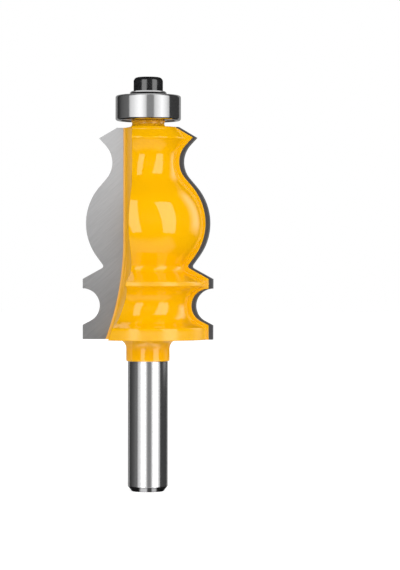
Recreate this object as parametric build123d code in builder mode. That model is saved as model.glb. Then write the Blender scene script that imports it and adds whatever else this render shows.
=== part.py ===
from build123d import *
from math import cos, radians, sin, sqrt, tan
import os

os.makedirs("parts", exist_ok=True)

# Two-tip profile router bit with a ball bearing guide.
# Millimetres, Z is the spindle axis, the origin is the centre of the shank's free end.

# Shank and the collar above it
shank_diameter = 12.7
shank_length = 41.0
shank_chamfer_width = 1.26
shank_chamfer_height = 1.6
collar_diameter = 13.7
collar_length = 6.85
collar_edge_radius = 0.35
collar_root_radius = 3.0

# Cutting outline, with heights measured from the foot of the profile
cutting_diameter = 41.28
cove_radius = 5.4
cove_exit_angle = 62.0
ridge_bottom = 16.05
ridge_height = 3.0
ridge_slope = 29.0
notch_radius = 0.8
bulge_radius = 17.78
bulge_centre_radius = 1.85
bulge_rise = 17.55
bulge_lower_angle = 36.0
bulge_upper_angle = 40.5
flank_length = 3.25
throat_radius = 8.0
throat_exit_angle = 42.8
point_flank_length = 3.05
point_bevel_height = 3.35
point_bevel_angle = 30.6

# Steel body behind the cutting edges
body_inset = 2.0
body_cove_inset = 2.45
body_cove_growth = 0.9
body_ridge_inset = 2.54
body_notch_radius = 1.8
body_point_flank_length = 0.8
body_edge_radius = 0.4
body_rim_radius = 9.2
rib_inset = 1.6
rib_thickness = 0.6

# Carbide tips and the gullets in front of them
tip_thickness = 2.0
tip_clearance_angle = 14.0
tip_edge_margin = 0.05
rake_offset = 1.7
gullet_root = 6.8
gullet_root_radius = 1.0
gullet_hollow = 1.75
gullet_half_width = 9.8
gullet_runout_height = 31.4
gullet_runout_radius = 92.0
gullet_runout_angle = 30.0
hollow_runout_height = 26.65
hollow_runout_radius = 50.0
hollow_runout_angle = 40.0
tool_margin = 5.0

# Neck under the bearing
neck_length = 2.1
neck_waist_diameter = 10.2
neck_waist_depth = 0.9
neck_groove_radius = 1.5

# Guide bearing
bearing_diameter = 20.64
bearing_bore = 6.35
bearing_width = 7.94
bearing_edge_radius = 0.7
ring_edge_chamfer = 0.25
ball_diameter = 3.97
ball_count = 7
ball_play = 0.05
groove_growth = 0.08
ring_gap = 1.75

# Cage of two pressed halves, held by rivets
cage_thickness = 0.35
cage_ring_clearance = 0.22
cage_ball_clearance = 0.07
rivet_diameter = 0.5
rivet_head_diameter = 0.9
rivet_head_height = 0.2

# Shields, each held by a snap ring
shield_thickness = 0.3
shield_depth = 0.35
shield_step = 0.6
shield_running_gap = 0.2
shield_rim_width = 0.65
shield_seat_clearance = 0.05
snap_ring_height = 0.5
snap_ring_width = 0.65
snap_ring_bite = 0.3
snap_ring_opening = 24.0
snap_groove_clearance = 0.05

# Washer and socket head screw
washer_diameter = 11.6
washer_thickness = 1.3
washer_edge_chamfer = 0.45
washer_hole_clearance = 0.15
screw_play = 0.05
screw_engagement = 12.0
screw_point_chamfer = 0.7
screw_head_diameter = 9.25
screw_head_height = 4.45
screw_head_radius = 1.35
socket_width = 4.76
socket_depth = 2.4
drill_tip_angle = 118.0
hole_reserve = 3.0

# Heights and radii that follow from the sizes above
cutting_radius = cutting_diameter / 2
foot_z = shank_length + collar_length
pitch_radius = (bearing_bore + bearing_diameter) / 4
ball_radius = ball_diameter / 2
groove_radius = ball_radius + groove_growth
inner_shoulder = pitch_radius - ring_gap / 2
outer_shoulder = pitch_radius + ring_gap / 2


def polar(centre, radius, angle):
    """Point at a distance and angle from a centre, in the plane of the outline."""
    turn = radians(angle)
    return (centre[0] + radius * cos(turn), centre[1] + radius * sin(turn))


def crossing(start, start_angle, other, other_angle):
    """Point where two lines meet, each given by a point and a direction."""
    a, b = radians(start_angle), radians(other_angle)
    across = cos(a) * sin(b) - sin(a) * cos(b)
    along = ((other[0] - start[0]) * sin(b) - (other[1] - start[1]) * cos(b)) / across
    return (start[0] + along * cos(a), start[1] + along * sin(a))


ridge_top_z = foot_z + ridge_bottom + ridge_height
bulge_centre = (bulge_centre_radius, ridge_top_z + bulge_rise)
throat_centre = polar(
    polar(bulge_centre, bulge_radius + throat_radius, bulge_upper_angle),
    flank_length,
    bulge_upper_angle + 90,
)
cove_centre_z = foot_z + ridge_bottom - cove_radius
point = polar(
    polar(throat_centre, throat_radius, 180 - throat_exit_angle),
    point_flank_length,
    90 - throat_exit_angle,
)
top_z = point[1] + point_bevel_height
cutting_rim_radius = point[0] - point_bevel_height / tan(radians(point_bevel_angle))
bearing_z = top_z + neck_length
bearing_middle = bearing_z + bearing_width / 2
washer_z = bearing_z + bearing_width
screw_head_z = washer_z + washer_thickness


def draw_outline(inset, cove_inset, cove_growth, ridge_inset, notch, flank, rim_radius, edge):
    """Half section from the axis, up the moulding profile and back along the top."""
    land = cutting_radius - inset
    ridge = cutting_radius - ridge_inset
    cove_size = cove_radius + cove_growth
    cove_centre = (cutting_radius - cove_radius - cove_inset + cove_size, cove_centre_z)
    cove_low = polar(cove_centre, cove_size, 180 + cove_exit_angle)
    land_top = crossing(cove_low, cove_exit_angle - 90, (land, foot_z), 90)
    cove_high = (ridge, cove_centre_z + sqrt(cove_size**2 - (cove_centre[0] - ridge) ** 2))
    slope_point = polar((cutting_radius, ridge_top_z), inset, -90 - ridge_slope)
    ridge_top = crossing(slope_point, 180 - ridge_slope, (ridge, ridge_top_z), 90)
    bulge_low = polar(bulge_centre, bulge_radius - inset, -bulge_lower_angle)
    notch_point = crossing(slope_point, 180 - ridge_slope, bulge_low, -90 - bulge_lower_angle)
    bulge_high = polar(bulge_centre, bulge_radius - inset, bulge_upper_angle)
    bulge_middle = polar(bulge_centre, bulge_radius - inset, 0)
    throat_low = polar(throat_centre, throat_radius + inset, 180 + bulge_upper_angle)
    throat_middle = polar(throat_centre, throat_radius + inset, 180)
    throat_high = polar(throat_centre, throat_radius + inset, 180 - throat_exit_angle)
    tip = polar(throat_high, flank, 90 - throat_exit_angle)
    FilletPolyline((0, foot_z), (land, foot_z), land_top, cove_low, radius=(0, edge))
    ThreePointArc(cove_low, polar(cove_centre, cove_size, 180), cove_high)
    FilletPolyline(cove_high, ridge_top, notch_point, bulge_low, radius=(edge, notch))
    ThreePointArc(bulge_low, bulge_middle, bulge_high)
    Line(bulge_high, throat_low)
    ThreePointArc(throat_low, throat_middle, throat_high)
    rim = (rim_radius, top_z)
    FilletPolyline(throat_high, tip, rim, (0, top_z), radius=(edge, edge))
    Line((0, top_z), (0, foot_z))


def draw_cutting_outline():
    """Outline that the cutting edges sweep."""
    draw_outline(0, 0, 0, 0, notch_radius, point_flank_length, cutting_rim_radius, 0)


gullet_top_z = top_z + tool_margin
gullet_reach = cutting_radius + tool_margin


def draw_runout(outward, height, radius, angle):
    """Line down a wall of the gullet, straight and then running out towards the foot."""
    centre = (-gullet_root - radius, foot_z + height)
    start = polar(centre, radius - outward, 0)
    middle = polar(centre, radius - outward, -angle / 2)
    end = polar(centre, radius - outward, -angle)
    Line((start[0], gullet_top_z), start)
    ThreePointArc(start, middle, end)
    return end


def draw_gullet_path(outward):
    """Line of the gullet's root."""
    return draw_runout(outward, gullet_runout_height, gullet_runout_radius, gullet_runout_angle)


# Gullet with a flat floor and wall, swept along its root
with BuildPart() as gullet:
    with BuildLine(Plane.XZ) as gullet_path:
        draw_gullet_path(0)
    with BuildSketch(Plane.XY.offset(gullet_top_z)):
        with Locations((-gullet_root, rake_offset)):
            Rectangle(gullet_reach, gullet_reach, align=(Align.MAX, Align.MAX))
        fillet(vertices().group_by(Axis.X)[-1].sort_by(Axis.Y)[-1], gullet_root_radius)
    sweep(path=gullet_path.line)

# Hollow in the gullet's wall, which runs out before the gullet does
with BuildPart() as hollow:
    with BuildLine(Plane.XZ) as hollow_path:
        draw_runout(0, hollow_runout_height, hollow_runout_radius, hollow_runout_angle)
    with BuildSketch(Plane.XY.offset(gullet_top_z)):
        hollow_start = rake_offset - gullet_root_radius
        with BuildLine():
            ThreePointArc(
                (-gullet_root, hollow_start),
                (gullet_hollow - gullet_root, hollow_start - gullet_half_width),
                (-gullet_root, hollow_start - 2 * gullet_half_width),
            )
            Polyline(
                (-gullet_root, hollow_start - 2 * gullet_half_width),
                (-gullet_reach, hollow_start - 2 * gullet_half_width),
                (-gullet_reach, hollow_start),
                (-gullet_root, hollow_start),
            )
        make_face()
    sweep(path=hollow_path.line)

# Slot that the carbide tip is brazed into, behind the gullet's floor
with BuildPart() as tip_slot:
    with BuildSketch(Plane.XZ.offset(-rake_offset)):
        with BuildLine():
            tip_edge = gullet_root_radius + tip_edge_margin
            slot_end = draw_gullet_path(tip_edge)
            Polyline(
                slot_end,
                (slot_end[0] - gullet_reach, slot_end[1]),
                (slot_end[0] - gullet_reach, gullet_top_z),
                (-gullet_root - tip_edge, gullet_top_z),
            )
        make_face()
    extrude(amount=-tip_thickness)

# Carbide tip with its ground profile, relieved behind the cutting edge
with BuildPart() as tip_blank:
    with BuildSketch(Plane.XZ.offset(-rake_offset)):
        with BuildLine():
            draw_cutting_outline()
        make_face()
        mirror(about=Plane.YZ, mode=Mode.REPLACE)
    relief = tip_thickness * tan(radians(tip_clearance_angle))
    extrude(amount=sqrt(tip_thickness**2 + relief**2), dir=(relief, tip_thickness, 0))
    add(tip_slot.part, mode=Mode.INTERSECT)

# Steel rib that backs the carbide tip and follows its outline
with BuildPart() as rib:
    with BuildSketch(Plane.XZ.offset(-rake_offset - tip_thickness)):
        with BuildLine():
            draw_cutting_outline()
        make_face()
        mirror(about=Plane.YZ, mode=Mode.REPLACE)
    extrude(amount=-rib_thickness)

# Body turned in one piece with its shank, collar and neck
with BuildPart() as body:
    with BuildSketch(Plane.XZ):
        with BuildLine():
            draw_outline(
                body_inset,
                body_cove_inset,
                body_cove_growth,
                body_ridge_inset,
                body_notch_radius,
                body_point_flank_length,
                body_rim_radius,
                body_edge_radius,
            )
        make_face()
    revolve(axis=Axis.Z)
    with PolarLocations(0, 2):
        with Locations((rib_inset, 0, 0)):
            add(rib.part)
    with PolarLocations(0, 2):
        add(gullet.part, mode=Mode.SUBTRACT)
        add(hollow.part, mode=Mode.SUBTRACT)
        add(tip_slot.part, mode=Mode.SUBTRACT)
    with BuildSketch(Plane.XZ):
        with BuildLine():
            Polyline(
                (0, 0),
                (shank_diameter / 2 - shank_chamfer_width, 0),
                (shank_diameter / 2, shank_chamfer_height),
                (shank_diameter / 2, shank_length),
                (collar_diameter / 2 - collar_edge_radius, shank_length),
            )
            RadiusArc(
                (collar_diameter / 2 - collar_edge_radius, shank_length),
                (collar_diameter / 2, shank_length + collar_edge_radius),
                -collar_edge_radius,
            )
            Line(
                (collar_diameter / 2, shank_length + collar_edge_radius),
                (collar_diameter / 2, foot_z - collar_root_radius),
            )
            RadiusArc(
                (collar_diameter / 2, foot_z - collar_root_radius),
                (collar_diameter / 2 + collar_root_radius, foot_z),
                collar_root_radius,
            )
            Polyline(
                (collar_diameter / 2 + collar_root_radius, foot_z),
                (0, foot_z),
                (0, 0),
            )
        make_face()
    revolve(axis=Axis.Z)
    with BuildSketch(Plane.XZ):
        with BuildLine():
            waist = (neck_waist_diameter / 2, bearing_z - neck_waist_depth)
            groove_x = waist[0] + neck_groove_radius
            neck_foot = (groove_x - sqrt(neck_groove_radius**2 - (waist[1] - top_z) ** 2), top_z)
            neck_top = (groove_x - sqrt(neck_groove_radius**2 - neck_waist_depth**2), bearing_z)
            ThreePointArc(neck_foot, waist, neck_top)
            Polyline(neck_top, (0, bearing_z), (0, top_z), neck_foot)
        make_face()
    revolve(axis=Axis.Z)
    screw_radius = bearing_bore / 2 - screw_play
    hole_radius = bearing_bore / 2
    hole_bottom = bearing_z - screw_engagement - hole_reserve
    with BuildSketch(Plane.XZ):
        with BuildLine():
            Polyline(
                (0, bearing_z),
                (hole_radius, bearing_z),
                (hole_radius, hole_bottom),
                (0, hole_bottom - hole_radius / tan(radians(drill_tip_angle / 2))),
                (0, bearing_z),
            )
        make_face()
    revolve(axis=Axis.Z, mode=Mode.SUBTRACT)
body.part.label = "body"

# Pair of carbide tips, half a turn apart
tips = []
for index in range(2):
    name = f"carbide_tip_{index + 1}"
    with BuildPart() as tip:
        with PolarLocations(0, 1, start_angle=180 * index):
            add(tip_blank.part)
    tip.part.label = name
    tips.append(tip.part)

# Half section plane of the bearing, level with the centres of its balls
bearing_section = Plane((0, 0, bearing_middle), x_dir=(1, 0, 0), z_dir=(0, -1, 0))

# Inner ring, clamped between the neck and the washer
with BuildPart() as inner_ring:
    with BuildSketch(bearing_section):
        with Locations(((bearing_bore / 2 + inner_shoulder) / 2, 0)):
            Rectangle(inner_shoulder - bearing_bore / 2, bearing_width)
        chamfer(vertices(), ring_edge_chamfer)
        groove_bottom = pitch_radius - ball_radius - ball_play
        with Locations((groove_bottom + groove_radius, 0)):
            Circle(groove_radius, mode=Mode.SUBTRACT)
    revolve(axis=Axis.Z)
inner_ring.part.label = "inner_ring"

# Depths of the shield and the snap ring below the end face of the outer ring
shield_face = bearing_width / 2 - shield_depth
rim_face = shield_face - shield_step
rim_floor = rim_face - shield_thickness
seat_radius = outer_shoulder + shield_rim_width + 2 * shield_running_gap
snap_groove_radius = seat_radius + snap_ring_bite

# Outer ring, which runs against the workpiece or the template
with BuildPart() as outer_ring:
    with BuildSketch(bearing_section):
        with Locations(((outer_shoulder + bearing_diameter / 2) / 2, 0)):
            Rectangle(bearing_diameter / 2 - outer_shoulder, bearing_width)
        fillet(vertices().group_by(Axis.X)[-1], bearing_edge_radius)
        groove_top = pitch_radius + ball_radius + ball_play
        with Locations((groove_top - groove_radius, 0)):
            Circle(groove_radius, mode=Mode.SUBTRACT)
        for side in (1, -1):
            seat_height = bearing_width / 2 - rim_floor
            seat_middle = side * (rim_floor + seat_height / 2)
            with Locations(((outer_shoulder + seat_radius) / 2, seat_middle)):
                Rectangle(seat_radius - outer_shoulder, seat_height, mode=Mode.SUBTRACT)
            groove_height = snap_ring_height + 2 * snap_groove_clearance
            groove_middle = side * (rim_face + snap_ring_height / 2)
            with Locations(((outer_shoulder + snap_groove_radius) / 2, groove_middle)):
                Rectangle(snap_groove_radius - outer_shoulder, groove_height, mode=Mode.SUBTRACT)
    revolve(axis=Axis.Z)
outer_ring.part.label = "outer_ring"

# Pressed shield with a raised middle, seated in the outer ring, built on the origin
with BuildPart() as shield:
    shield_bore = inner_shoulder + shield_running_gap
    shield_radius = seat_radius - shield_seat_clearance
    step_radius = seat_radius - shield_rim_width
    with BuildSketch(Plane.XZ):
        with BuildLine():
            Polyline(
                (shield_bore, shield_face),
                (step_radius - shield_running_gap, shield_face),
                (step_radius, rim_face),
                (shield_radius, rim_face),
                (shield_radius, rim_floor),
                (step_radius - shield_thickness, rim_floor),
                (
                    step_radius - shield_running_gap - shield_thickness,
                    shield_face - shield_thickness,
                ),
                (shield_bore, shield_face - shield_thickness),
                (shield_bore, shield_face),
            )
        make_face()
    revolve(axis=Axis.Z)

# Open spring ring in the outer ring's groove, over the shield's rim, built on the origin
with BuildPart() as snap_ring:
    snap_ring_radius = snap_groove_radius - snap_groove_clearance
    with BuildSketch(Plane.XZ):
        with Locations(
            (snap_ring_radius - snap_ring_width / 2, rim_face + snap_ring_height / 2)
        ):
            Rectangle(snap_ring_width, snap_ring_height)
    revolve(axis=Axis.Z, revolution_arc=360 - snap_ring_opening)

# Pressed half cage, flat between the balls and domed over each, built on the origin
with BuildPart() as cage_half:
    cage_bore = inner_shoulder + cage_ring_clearance
    cage_radius = outer_shoulder - cage_ring_clearance
    pocket_radius = ball_radius + cage_ball_clearance
    dome_radius = pocket_radius + cage_thickness
    with BuildSketch(Plane.XY):
        Circle(cage_radius)
        Circle(cage_bore, mode=Mode.SUBTRACT)
    extrude(amount=cage_thickness)
    with PolarLocations(pitch_radius, ball_count):
        Sphere(dome_radius)
    with BuildSketch(Plane.XY):
        Circle(cage_radius)
        Circle(cage_bore, mode=Mode.SUBTRACT)
    extrude(amount=dome_radius, mode=Mode.INTERSECT)
    with PolarLocations(pitch_radius, ball_count):
        Sphere(pocket_radius, mode=Mode.SUBTRACT)
    with PolarLocations(pitch_radius, ball_count, start_angle=180 / ball_count):
        Cylinder(rivet_diameter / 2, 2 * dome_radius, mode=Mode.SUBTRACT)

# These pieces raised into the bearing, once as they are and once turned over
pairs = []
upright = Location((0, 0, bearing_middle))
turned_over = Location((0, 0, bearing_middle), (180, 0, 0))
for kind, shape in (("shield", shield), ("snap_ring", snap_ring), ("cage", cage_half)):
    for name, place in (("upper", upright), ("lower", turned_over)):
        with BuildPart() as copy:
            with Locations(place):
                add(shape.part)
        copy.part.label = f"{kind}_{name}"
        pairs.append(copy.part)

# Rivets that join the two halves of the cage between the balls
with BuildPart() as cage_rivets:
    with Locations((0, 0, bearing_middle)):
        with PolarLocations(pitch_radius, ball_count, start_angle=180 / ball_count):
            Cylinder(rivet_diameter / 2, 2 * cage_thickness)
    for side in (1, -1):
        head_middle = bearing_middle + side * (cage_thickness + rivet_head_height / 2)
        with Locations((0, 0, head_middle)):
            with PolarLocations(pitch_radius, ball_count, start_angle=180 / ball_count):
                Cylinder(rivet_head_diameter / 2, rivet_head_height)
cage_rivets.part.label = "cage_rivets"

# Bearing balls, evenly spaced on the pitch circle
balls = []
for index in range(ball_count):
    with BuildPart() as ball:
        with Locations((0, 0, bearing_middle)):
            with PolarLocations(pitch_radius, 1, start_angle=index * 360 / ball_count):
                Sphere(ball_radius)
    ball.part.label = f"ball_{index + 1}"
    balls.append(ball.part)

# Washer that clamps the inner ring and clears the outer one
with BuildPart() as washer:
    with BuildSketch(Plane.XY.offset(washer_z)):
        Circle(washer_diameter / 2)
        Circle(bearing_bore / 2 + washer_hole_clearance, mode=Mode.SUBTRACT)
    extrude(amount=washer_thickness)
    chamfer(edges().group_by(Axis.Z)[-1].sort_by(SortBy.RADIUS)[-1], washer_edge_chamfer)
washer.part.label = "washer"

# Socket head screw through the washer and the bearing into the neck
with BuildPart() as screw:
    screw_length = washer_thickness + bearing_width + screw_engagement
    with BuildSketch(Plane.XY.offset(screw_head_z - screw_length)):
        Circle(screw_radius)
    extrude(amount=screw_length)
    chamfer(edges().group_by(Axis.Z)[0], screw_point_chamfer)
    with BuildSketch(Plane.XY.offset(screw_head_z)):
        Circle(screw_head_diameter / 2)
    extrude(amount=screw_head_height)
    fillet(edges().group_by(Axis.Z)[-1], screw_head_radius)
    head_top = screw_head_z + screw_head_height
    with BuildSketch(Plane.XY.offset(head_top)):
        RegularPolygon(socket_width / 2, 6, major_radius=False)
    extrude(amount=-socket_depth, mode=Mode.SUBTRACT)
screw.part.label = "screw"

pieces = [body.part, *tips, inner_ring.part, outer_ring.part, *pairs, cage_rivets.part]
pieces += [*balls, washer.part, screw.part]
for piece in pieces:
    export_step(piece, f"parts/{piece.label}.step")
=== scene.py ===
from math import atan2, cos, degrees, pi, radians, sin, tan

import bpy
from mathutils import Matrix, Quaternion, Vector


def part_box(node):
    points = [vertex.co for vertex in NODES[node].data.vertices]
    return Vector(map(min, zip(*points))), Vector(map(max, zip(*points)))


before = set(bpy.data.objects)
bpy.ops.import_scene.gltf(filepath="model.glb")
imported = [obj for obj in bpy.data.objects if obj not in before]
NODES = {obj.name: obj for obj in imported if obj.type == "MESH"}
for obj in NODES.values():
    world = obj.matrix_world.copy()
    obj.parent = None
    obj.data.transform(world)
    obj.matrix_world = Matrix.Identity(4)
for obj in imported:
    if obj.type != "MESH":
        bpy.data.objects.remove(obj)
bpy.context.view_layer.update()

SCENE = bpy.context.scene
MM = 0.001

# The photograph's frame, and its scale, found from the 12.7 mm shank
IMAGE_WIDTH = 400
IMAGE_HEIGHT = 570
METRES_PER_PIXEL = 0.00031584
AXIS_PIXEL_X = 148.0
SHANK_END_PIXEL_Y = 490.85
HORIZON_PIXEL_Y = 270.0

# The camera's roll in degrees, its distance in metres and its sensor in millimetres
CAMERA_ROLL = 0.09
CAMERA_DISTANCE = 0.715
SENSOR = 36.0

# Heights above the shank's end, at or close to the body's edges, and the neck's length
SHANK_CHAMFER = 1.58 * MM
SHANK_TOP = 41.0 * MM
BULGE_HEIGHT = 84.0 * MM
BEARING_HEIGHT = (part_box("outer_ring")[0].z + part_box("outer_ring")[1].z) / 2
NECK_LENGTH = 2.1 * MM
NECK_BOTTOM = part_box("outer_ring")[0].z - NECK_LENGTH

# Heights along the collar's fillet with the foot, and along the ridge, with the share of dulling
LAND_EDGES = (
    (44.0 * MM, 0), (45.5 * MM, 1), (50.6 * MM, 1), (51.2 * MM, 0),
    (63.9 * MM, 0), (64.4 * MM, 1), (66.3 * MM, 1), (66.8 * MM, 0),
)

# Gullets in plan, from the axis: near the wall and the rake face, and where the dulling fades
GULLET_WALL = 4.9 * MM
RAKE_FACE = 1.8 * MM
FADE_START = 4.5 * MM
FADE_END = 12.5 * MM

# Roughness, least and most, and what the neck, the lands and the gullets add to the enamel's
ENAMEL_ROUGHNESS = (0.045, 0.075)
SHANK_ROUGHNESS = (0.10, 0.18)
NECK_DULLING = 0.14
LAND_DULLING = 0.17
GULLET_DULLING = 0.3

# Cells of noise to a metre
MOTTLE_CELLS = 260.0
EDGE_CELLS = 900.0
CLOUD_CELLS = 900.0
OXIDE_CELLS = 1300.0
PEEL_CELLS = 1500.0
GRINDING_CELLS = 3200.0

# Light, where 1 shows a white surface as white
FLOOR_LIGHT = 0.96
CEILING_LIGHT = 0.55
ROOM = 0.01
FLOOR_GLOW = 0.65

# Light panels: their soft edge, and the lowest and highest level round the shank and the bearing
SOFT_EDGE = 0.004
SHANK_LEVELS = (-12.0 * MM, 40.8 * MM)
BEARING_LEVELS = (BEARING_HEIGHT - 0.25, BEARING_HEIGHT + 0.6)

# Inputs and output of the Mix node for numbers and for colours
MIX_SOCKETS = {"FLOAT": ((0, 2, 3), 0), "RGBA": ((0, 6, 7), 2)}

# Pieces that panels light on their own
BODY = ("body",)
BEARING = (
    "outer_ring", "inner_ring", "shield_upper", "shield_lower", "snap_ring_upper",
    "snap_ring_lower",
)

# Colours, linear
ENAMEL = (1.0, 0.495, 0.0)
SHANK_STEEL = (0.66, 0.66, 0.665)
# Steel painted darker on the shank's chamfer: painted shade for its dim reflection
CHAMFER_STEEL_PAINTED_DARK = (0.36, 0.36, 0.365)
BEARING_STEEL = (0.68, 0.68, 0.685)
CARBIDE = (0.40, 0.40, 0.405)
WASHER_STEEL = (0.50, 0.50, 0.50)
SHIELD_STEEL = (0.42, 0.41, 0.40)
SPRING_STEEL = (0.30, 0.30, 0.31)
CAGE_STEEL = (0.45, 0.42, 0.36)
BLACK_OXIDE = (0.011, 0.011, 0.012)
FLOOR_PAINT = (0.82, 0.82, 0.82)
WHITE = (1.0, 1.0, 1.0)


def place_camera():
    """Nearly level view from the front, turned so that the bit stands left of the middle."""
    horizon = (SHANK_END_PIXEL_Y - HORIZON_PIXEL_Y) * METRES_PER_PIXEL
    aim_x = (IMAGE_WIDTH / 2 - AXIS_PIXEL_X) * METRES_PER_PIXEL
    aim_z = horizon - (IMAGE_HEIGHT / 2 - HORIZON_PIXEL_Y) * METRES_PER_PIXEL
    data = bpy.data.cameras.new("camera")
    camera = bpy.data.objects.new("camera", data)
    SCENE.collection.objects.link(camera)
    camera.location = (0, -CAMERA_DISTANCE, horizon)
    direction = Vector((aim_x, 0, aim_z)) - camera.location
    camera.rotation_mode = "QUATERNION"
    roll = Quaternion((0, 0, 1), radians(CAMERA_ROLL))
    camera.rotation_quaternion = direction.to_track_quat("-Z", "Y") @ roll
    data.sensor_width = SENSOR
    data.lens = SENSOR * direction.length / (IMAGE_HEIGHT * METRES_PER_PIXEL)
    data.clip_start = 0.01
    data.clip_end = 20
    SCENE.camera = camera


class Tree:
    """Short way to add nodes to a material, world or lamp and to link them."""

    def __init__(self, owner):
        owner.use_nodes = True
        self.tree = owner.node_tree

    def node(self, kind, **settings):
        node = self.tree.nodes.new("ShaderNode" + kind)
        for name, value in settings.items():
            setattr(node, name, value)
        return node

    def link(self, source, target):
        self.tree.links.new(source, target)

    def fill(self, sockets, values):
        """Give each socket its number or colour, or link it to another node's output."""
        for socket, value in zip(sockets, values):
            if isinstance(value, (int, float)):
                socket.default_value = value
            elif isinstance(value, tuple):
                socket.default_value = (*value, 1.0)
            else:
                self.link(value, socket)

    def math(self, operation, *values, clamp=False):
        node = self.node("Math", operation=operation, use_clamp=clamp)
        self.fill(node.inputs, values)
        return node.outputs[0]

    def between(self, factor, bounds):
        """The first bound where the factor is nought, and the second where it is one."""
        first, second = bounds
        return self.math("MULTIPLY_ADD", factor, second - first, first)

    def ramp(self, factor, stops):
        """Grey by factor; stops are pairs of place and brightness."""
        node = self.node("ValToRGB")
        elements = node.color_ramp.elements
        while len(elements) < len(stops):
            elements.new(0.5)
        for element, (place, value) in zip(elements, stops):
            element.position = place
            element.color = (value, value, value, 1.0)
        self.link(factor, node.inputs["Fac"])
        return node.outputs["Color"]

    def noise(self, vector, scale, detail, roughness=0.5):
        """Noise with as many cells in each unit of the vector as the scale says."""
        node = self.node("TexNoise")
        node.inputs["Scale"].default_value = scale
        node.inputs["Detail"].default_value = detail
        node.inputs["Roughness"].default_value = roughness
        self.link(vector, node.inputs["Vector"])
        return node.outputs["Fac"]

    def mix(self, factor, first, second, kind="RGBA", blend="MIX"):
        """The first where the factor is nought, and the second where it is one."""
        node = self.node("Mix", data_type=kind, blend_type=blend)
        inputs, output = MIX_SOCKETS[kind]
        self.fill([node.inputs[place] for place in inputs], (factor, first, second))
        return node.outputs[output]

    def place(self, scale=(1, 1, 1), turn=(0, 0, 0)):
        """The piece's own coordinates in metres, turned and then scaled."""
        coordinates = self.node("TexCoord")
        turned = self.node("Mapping", vector_type="POINT")
        turned.inputs["Rotation"].default_value = [radians(angle) for angle in turn]
        scaled = self.node("Mapping", vector_type="POINT")
        scaled.inputs["Scale"].default_value = scale
        self.link(coordinates.outputs["Object"], turned.inputs["Vector"])
        self.link(turned.outputs["Vector"], scaled.inputs["Vector"])
        return scaled.outputs["Vector"]

    def parts(self, vector):
        """The X, Y and Z of a vector."""
        node = self.node("SeparateXYZ")
        self.link(vector, node.inputs["Vector"])
        return node.outputs


class Surface(Tree):
    """A material built on the Principled shader."""

    def __init__(self, name, colour, metallic, roughness, ior=1.5):
        self.material = bpy.data.materials.new(name)
        super().__init__(self.material)
        self.colour = colour
        self.shader = self.tree.nodes["Principled BSDF"]
        self.shader.inputs["Base Color"].default_value = (*colour, 1.0)
        self.shader.inputs["Metallic"].default_value = metallic
        self.shader.inputs["Roughness"].default_value = roughness
        self.shader.inputs["IOR"].default_value = ior

    def feed(self, name, source):
        """Let a node drive the shader's input of that name."""
        self.link(source, self.shader.inputs[name])

    def tint(self, colour, pattern, tones):
        """The colour, darker and lighter with a pattern; tones are the stops of its ramp."""
        return self.mix(1.0, colour, self.ramp(pattern, tones), blend="MULTIPLY")

    def bump(self, height, depth, normal=None):
        node = self.node("Bump")
        node.inputs["Distance"].default_value = depth
        self.link(height, node.inputs["Height"])
        if normal is not None:
            self.link(normal, node.inputs["Normal"])
        return node.outputs["Normal"]

    def dress(self, pattern, tones, roughness, depth):
        """Show one pattern in the colour's tone, in the gloss and in the relief."""
        self.feed("Base Color", self.tint(self.colour, pattern, tones))
        self.feed("Roughness", self.between(pattern, roughness))
        self.feed("Normal", self.bump(pattern, depth))

    def cover(self, *names):
        """Give the material to the named pieces."""
        for name in names:
            mesh = NODES[name].data
            mesh.materials.clear()
            mesh.materials.append(self.material)


def turning_lines(surface, pitch):
    """Fine rings round the bit's axis, as turning and grinding leave them."""
    waviness = 0.15
    place = surface.place(scale=(waviness / pitch, waviness / pitch, 1 / pitch))
    return surface.noise(place, scale=1.0, detail=3.0, roughness=0.7)


def on_shank(surface, height):
    """One below the enamel's lower edge, which wavers a little."""
    waver = 0.04 * MM
    edge = surface.noise(surface.place(), EDGE_CELLS, detail=1.0)
    paint_line = surface.math("MULTIPLY_ADD", edge, waver, SHANK_TOP - waver / 2)
    return surface.math("LESS_THAN", height, paint_line)


def on_lands(surface, height):
    """One on the collar's fillet and the foot, and on the ridge."""
    low, high = LAND_EDGES[0][0], LAND_EDGES[-1][0]
    along = surface.math("MULTIPLY_ADD", height, 1 / (high - low), -low / (high - low))
    return surface.ramp(along, [((z - low) / (high - low), share) for z, share in LAND_EDGES])


def in_gullets(surface, spot):
    """One on the gullets' walls in front of either tip, fading to nought farther out."""
    side = surface.math("SIGN", spot["X"])
    out = surface.math("MULTIPLY", spot["X"], side)
    ahead = surface.math("MULTIPLY", spot["Y"], side)
    outside = surface.math("GREATER_THAN", out, GULLET_WALL)
    in_front = surface.math("GREATER_THAN", ahead, -RAKE_FACE)
    fade = 1 / (FADE_END - FADE_START)
    near = surface.math("MULTIPLY_ADD", ahead, -fade, FADE_END * fade, clamp=True)
    return surface.math("MULTIPLY", surface.math("MULTIPLY", outside, in_front), near)


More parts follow.
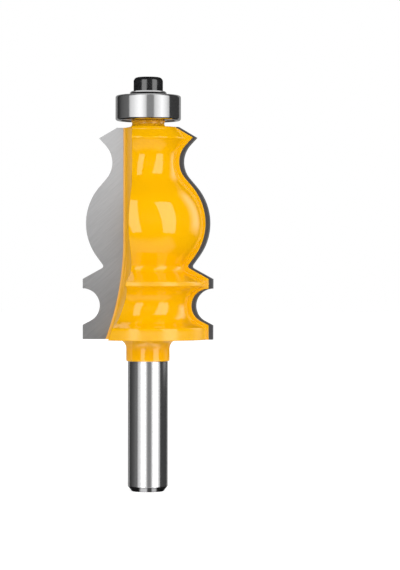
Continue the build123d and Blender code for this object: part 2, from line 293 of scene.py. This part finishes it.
def make_body():
    """Gloss enamel down to the collar, and the ground shank left bare below it."""
    surface = Surface("enamel_and_shank", ENAMEL, metallic=0.0, roughness=0.06, ior=1.75)
    spot = surface.parts(surface.place())
    height = spot["Z"]
    bare = on_shank(surface, height)
    surface.feed("Metallic", bare)

    mottle = surface.noise(surface.place(), MOTTLE_CELLS, detail=3.0)
    paint = surface.tint(ENAMEL, mottle, ((0.3, 0.985), (0.7, 1.0)))
    grain = turning_lines(surface, 0.12 * MM)
    steel = surface.tint(SHANK_STEEL, grain, ((0.3, 0.9), (0.7, 1.05)))
    # The chamfer takes a darker steel colour, painted shade for the dim reflection it shows
    chamfer = surface.math("LESS_THAN", height, SHANK_CHAMFER)
    steel = surface.mix(chamfer, steel, CHAMFER_STEEL_PAINTED_DARK)
    surface.feed("Base Color", surface.mix(bare, paint, steel))

    neck = surface.math("GREATER_THAN", height, NECK_BOTTOM)
    lands = on_lands(surface, height)
    gullets = in_gullets(surface, spot)
    dull = surface.between(mottle, ENAMEL_ROUGHNESS)
    for place, dulling in (
        (neck, NECK_DULLING), (lands, LAND_DULLING), (gullets, GULLET_DULLING)
    ):
        dull = surface.math("MULTIPLY_ADD", place, dulling, dull)
    ground = surface.between(grain, SHANK_ROUGHNESS)
    surface.feed("Roughness", surface.mix(bare, dull, ground, kind="FLOAT"))

    soft_edges = surface.node("Bevel", samples=12)
    soft_edges.inputs["Radius"].default_value = 0.35 * MM
    peel = surface.noise(surface.place(), PEEL_CELLS, detail=1.0)
    surface.feed("Normal", surface.bump(peel, 0.0006 * MM, soft_edges.outputs["Normal"]))
    surface.cover("body")


def make_carbide():
    """Diamond-ground carbide, with grinding lines across the face at a slant."""
    surface = Surface("ground_carbide", CARBIDE, metallic=1.0, roughness=0.36)
    slant = surface.place(scale=(1, 1, 0.06), turn=(0, -48, 0))
    surface.dress(
        surface.noise(slant, GRINDING_CELLS, detail=4.0, roughness=0.6),
        tones=((0.35, 0.93), (0.65, 1.05)), roughness=(0.30, 0.42), depth=0.0015 * MM,
    )
    surface.cover("carbide_tip_1", "carbide_tip_2")


def make_turned_steel(name, colour, pieces, roughness, pitch):
    """Steel with fine rings round the axis, in its tone, its gloss and its surface."""
    surface = Surface(name, colour, metallic=1.0, roughness=roughness)
    surface.dress(
        turning_lines(surface, pitch), tones=((0.3, 0.92), (0.7, 1.04)),
        roughness=(roughness - 0.04, roughness + 0.04), depth=0.0008 * MM,
    )
    surface.cover(*pieces)


def make_pressed_steel(name, colour, pieces, roughness):
    """Satin sheet and spring steel, faintly clouded."""
    surface = Surface(name, colour, metallic=1.0, roughness=roughness)
    surface.dress(
        surface.noise(surface.place(), CLOUD_CELLS, detail=4.0),
        tones=((0.3, 0.88), (0.7, 1.06)),
        roughness=(roughness - 0.07, roughness + 0.08), depth=0.004 * MM,
    )
    surface.cover(*pieces)


def make_screw():
    """Black oxide on the screw, a little uneven in tone and gloss."""
    surface = Surface("black_oxide", BLACK_OXIDE, metallic=0.0, roughness=0.16, ior=1.9)
    surface.dress(
        surface.noise(surface.place(), OXIDE_CELLS, detail=4.0),
        tones=((0.35, 0.7), (0.75, 1.5)),
        roughness=(0.1, 0.24), depth=0.003 * MM,
    )
    surface.cover("screw")


def make_floor():
    """Pale floor, white to the camera except where the bit shades it."""
    mesh = bpy.data.meshes.new("floor")
    half = 3.0
    corners = [(-half, -half, 0), (half, -half, 0), (half, half, 0), (-half, half, 0)]
    mesh.from_pydata(corners, [], [(0, 1, 2, 3)])
    floor = bpy.data.objects.new("floor", mesh)
    SCENE.collection.objects.link(floor)
    surface = Surface("floor", FLOOR_PAINT, metallic=0.0, roughness=0.9)
    surface.shader.inputs["Emission Color"].default_value = (*WHITE, 1.0)
    path = surface.node("LightPath")
    glow = surface.math("MULTIPLY", path.outputs["Is Camera Ray"], FLOOR_GLOW)
    surface.feed("Emission Strength", glow)
    mesh.materials.append(surface.material)
    floor.visible_glossy = False
    floor.visible_shadow = False


def make_world():
    """White to the camera, a dark room to mirrors, and soft light from all sides to the rest."""
    world = bpy.data.worlds.new("studio")
    SCENE.world = world
    studio = Tree(world)
    direction = studio.parts(studio.node("TexCoord").outputs["Generated"])
    height = studio.math("MULTIPLY_ADD", direction["Z"], 0.5, 0.5)
    around = studio.ramp(height, ((0.0, FLOOR_LIGHT), (0.5, FLOOR_LIGHT), (0.9, CEILING_LIGHT)))
    path = studio.node("LightPath").outputs
    light = studio.mix(path["Is Glossy Ray"], around, (ROOM, ROOM, ROOM))
    light = studio.mix(path["Is Camera Ray"], light, WHITE)
    studio.link(light, studio.tree.nodes["Background"].inputs["Color"])


def towards(azimuth, elevation):
    """Direction from the bit, by the angle to the right of the camera and the height angle."""
    turn, rise = radians(azimuth), radians(elevation)
    return Vector((sin(turn) * cos(rise), -cos(turn) * cos(rise), sin(rise)))


def upright(left, right, top, bottom):
    """Corners between two azimuths and two elevations."""
    return (left, top), (right, top), (right, bottom), (left, bottom)


def flatten(corners, distance):
    """Turn of the plane that faces the bit at a distance, and the corners' points on it."""
    directions = [towards(*corner) for corner in corners]
    middle = sum(directions, Vector()).normalized()
    turn = middle.to_track_quat("Z", "Y").to_matrix()
    points = [turn.transposed() @ (way * (distance / way.dot(middle))) for way in directions]
    return turn, points


def light_only(light, name, receivers):
    """Keep a lamp's light to the receivers."""
    lit = bpy.data.collections.new(name + "_receivers")
    for receiver in receivers:
        lit.objects.link(NODES[receiver])
    light.light_linking.receiver_collection = lit


class Panel(Tree):
    """Flat light panel, cut to an outline of four directions.

    The corners run clockwise from the top left, each an azimuth and an elevation seen
    from a height on the bit, and the panel's plane lies at the distance. It lights its
    receivers, or everything where none is named, in mirrors or in diffuse light or both.
    """

    def __init__(self, name, corners, radiance, distance, height, receivers=(),
                 soft=SOFT_EDGE, mirrored=True, diffuse=False):
        turn, outline = flatten(corners, distance)
        self.low = Vector((min(point.x for point in outline), min(point.y for point in outline)))
        high = Vector((max(point.x for point in outline), max(point.y for point in outline)))
        self.size = high - self.low
        centre = (self.low + high) / 2
        stand = turn @ Vector((centre.x, centre.y, distance)) + Vector((0, 0, height))

        data = bpy.data.lights.new(name, "AREA")
        super().__init__(data)
        data.shape = "RECTANGLE"
        data.size, data.size_y = self.size
        data.energy = pi * self.size.x * self.size.y * radiance
        light = bpy.data.objects.new(name, data)
        SCENE.collection.objects.link(light)
        light.matrix_world = Matrix.Translation(stand) @ turn.to_4x4()
        light.visible_camera = False
        light.visible_diffuse = diffuse
        light.visible_glossy = mirrored
        if receivers:
            light_only(light, name, receivers)

        spot = self.parts(self.node("NewGeometry").outputs["Parametric"])
        self.across, self.up = spot["X"], spot["Y"]
        self.strength = None
        for start, end in zip(outline, outline[1:] + outline[:1]):
            self.times(self.side(start, end, soft))

    def side(self, start, end, soft):
        """One on the inner side of an edge, falling to nought within the soft width."""
        inward = Vector((end.y - start.y, start.x - end.x)).normalized() / soft
        offset = inward.dot(self.low - start.to_2d())
        part = self.math("MULTIPLY_ADD", self.across, inward.x * self.size.x, offset)
        return self.math("MULTIPLY_ADD", self.up, inward.y * self.size.y, part, clamp=True)

    def times(self, factor):
        """Multiply the panel's brightness by a factor that varies over it."""
        if self.strength is not None:
            factor = self.math("MULTIPLY", self.strength, factor)
        self.strength = factor
        self.link(factor, self.tree.nodes["Emission"].inputs["Strength"])


def bands(name, profile, distance, levels, receivers, soft=SOFT_EDGE):
    """Wide panel between two heights, whose brightness follows azimuths and radiances."""
    (left, _), (right, _) = profile[0], profile[-1]
    ahead = (left + right) / 2
    low, high = levels
    middle = (low + high) / 2
    rise = degrees(atan2((high - low) / 2 * cos(radians(right - ahead)), distance))
    brightest = max(radiance for _, radiance in profile)
    corners = upright(left, right, rise, -rise)
    panel = Panel(name, corners, brightest, distance, middle, receivers, soft)
    stops = []
    for azimuth, radiance in profile:
        across = distance * tan(radians(azimuth - ahead))
        stops.append(((across - panel.low.x) / panel.size.x, radiance / brightest))
    panel.times(panel.ramp(panel.across, stops))


def light_enamel():
    """Two windows, the bright right edge and a glow from below, mirrored by the enamel."""
    window_left = ((-52, 50), (-30, 50), (-13, -21), (-34, -21))
    window_right = ((17, 47), (60, 42), (59, -20), (32.8, -21.5))
    for name, corners in (("window_left", window_left), ("window_right", window_right)):
        Panel(
            name, corners, radiance=1.6, distance=1.5, height=BULGE_HEIGHT, receivers=BODY
        )
    Panel(
        "rim", upright(90, 132, 48, -14), radiance=1.5, distance=0.2,
        height=BULGE_HEIGHT, receivers=BODY, soft=0.06,
    )
    Panel(
        "glow", ((-50, -22), (50, -22), (88, -42), (-88, -42)), radiance=0.38, distance=0.4,
        height=BULGE_HEIGHT, receivers=BODY, soft=0.12, diffuse=True,
    )


def light_everything():
    """Diffuse light from the front and from behind, seen in no mirror."""
    for name, left, right, radiance in (("front", -70, 95, 1.48), ("back", 125, 235, 1.1)):
        Panel(
            name, upright(left, right, 4, -4), radiance=radiance, distance=1.5,
            height=BULGE_HEIGHT, mirrored=False, diffuse=True,
        )


def light_shank():
    """Upright bands of light that the ground shank mirrors, and two panels for its chamfer."""
    front = (
        (-80, 0.13), (-60, 0.18), (-51, 0.2), (-49, 0.75), (-40, 0.92), (-24, 1.4),
        (-19, 1.46), (-14, 1.4), (-6, 1.0), (-4, 0.9), (-2, 0.3), (13, 0.28), (16, 0.82),
        (28, 1.22), (39, 1.4), (45, 1.33), (52, 1.06), (61, 0.76), (66, 0.7), (68, 0.06),
        (80, 0.06),
    )
    left = ((-130, 0.5), (-120, 0.3), (-116, 0.04), (-105, 0.04), (-96, 0.06), (-76, 0.12))
    right = ((76, 0.05), (130, 0.05))
    back = ((134, 0.45), (226, 0.45))
    bands(
        "shank_front", front, distance=0.012, levels=SHANK_LEVELS, receivers=BODY, soft=0.0003
    )
    for name, profile in (("shank_left", left), ("shank_right", right), ("shank_back", back)):
        bands(
            name, profile, distance=0.03, levels=SHANK_LEVELS, receivers=BODY, soft=0.0005
        )
    chamfer_left = ((-41, -35), (-1, -43), (-6, -76), (-75, -46))
    chamfer_right = ((20, -43), (47, -34), (80, -43), (63, -67))
    for name, corners, radiance in (
        ("chamfer_left", chamfer_left, 1.5), ("chamfer_right", chamfer_right, 1.3)
    ):
        Panel(
            name, corners, radiance, distance=0.0104, height=0, receivers=BODY, soft=0.001
        )


def light_bearing():
    """Upright bands of light that the bearing mirrors, and panels over it and its washer."""
    front = (
        (-70.1, 0.2), (-70, 0.7), (-52, 1.08), (-30, 1.52), (-22, 1.42), (-8, 0.9),
        (-6, 0.85), (-5, 0.3), (19, 0.3), (21.5, 0.83), (31, 1.08), (48, 1.52), (61, 1.25),
        (74, 0.82), (79, 0.75), (80, 0.05),
    )
    left = ((-135, 0.02), (-120, 0.04), (-107, 0.1), (-90, 0.14), (-70, 0.17))
    right = ((80, 0.04), (135, 0.04))
    back = ((139, 0.32), (221, 0.32))
    for name, profile, receivers in (
        ("bearing_front", front, BEARING),
        ("bearing_left", left, BEARING),
        ("bearing_right", right, BEARING),
        ("bearing_back", back, BEARING + ("washer", "carbide_tip_2")),
    ):
        bands(name, profile, distance=0.5, levels=BEARING_LEVELS, receivers=receivers)
    Panel(
        "overhead", ((-135, 50), (135, 50), (45, 50), (-45, 50)), radiance=0.8, distance=0.5,
        height=BEARING_HEIGHT,
        receivers=("shield_upper", "snap_ring_upper", "inner_ring", "outer_ring"),
    )
    Panel(
        "washer_top", ((-138, 42), (138, 42), (50, 55), (-50, 55)), radiance=1.2,
        distance=0.3, height=BEARING_HEIGHT, receivers=("washer",),
    )


def light_screw():
    """Two windows that the screw's head mirrors."""
    half_width = 20
    for azimuth in (-32, 52):
        Panel(
            "screw_window", upright(azimuth - half_width, azimuth + half_width, 35, -20),
            radiance=2.0, distance=0.5, height=BEARING_HEIGHT, receivers=("screw",),
        )


def light_carbide():
    """A bright panel for the near tip's face, and a faint one for the far tip's back."""
    Panel(
        "carbide_face", upright(-40, 40, 60, -4), radiance=1.93, distance=0.3,
        height=BEARING_HEIGHT, receivers=("carbide_tip_1",),
    )
    Panel(
        "carbide_back", upright(-60, 60, 40, -40), radiance=0.15, distance=1.0,
        height=BULGE_HEIGHT, receivers=("carbide_tip_2",),
    )


place_camera()
make_body()
make_carbide()
make_turned_steel(
    "bearing_steel", BEARING_STEEL, ["outer_ring", "inner_ring"], roughness=0.12, pitch=0.08 * MM
)
make_turned_steel("washer_steel", WASHER_STEEL, ["washer"], roughness=0.2, pitch=0.1 * MM)
make_pressed_steel(
    "shield_steel", SHIELD_STEEL, ["shield_upper", "shield_lower"], roughness=0.32
)
make_pressed_steel(
    "spring_steel", SPRING_STEEL, ["snap_ring_upper", "snap_ring_lower"], roughness=0.35
)
make_pressed_steel(
    "cage_steel", CAGE_STEEL, ["cage_upper", "cage_lower", "cage_rivets"], roughness=0.4
)
balls = [name for name in NODES if name.startswith("ball_")]
make_turned_steel("ball_steel", BEARING_STEEL, balls, roughness=0.06, pitch=0.5 * MM)
make_screw()
make_floor()
make_world()
light_enamel()
light_everything()
light_shank()
light_bearing()
light_screw()
light_carbide()

SCENE.view_settings.view_transform = "Standard"
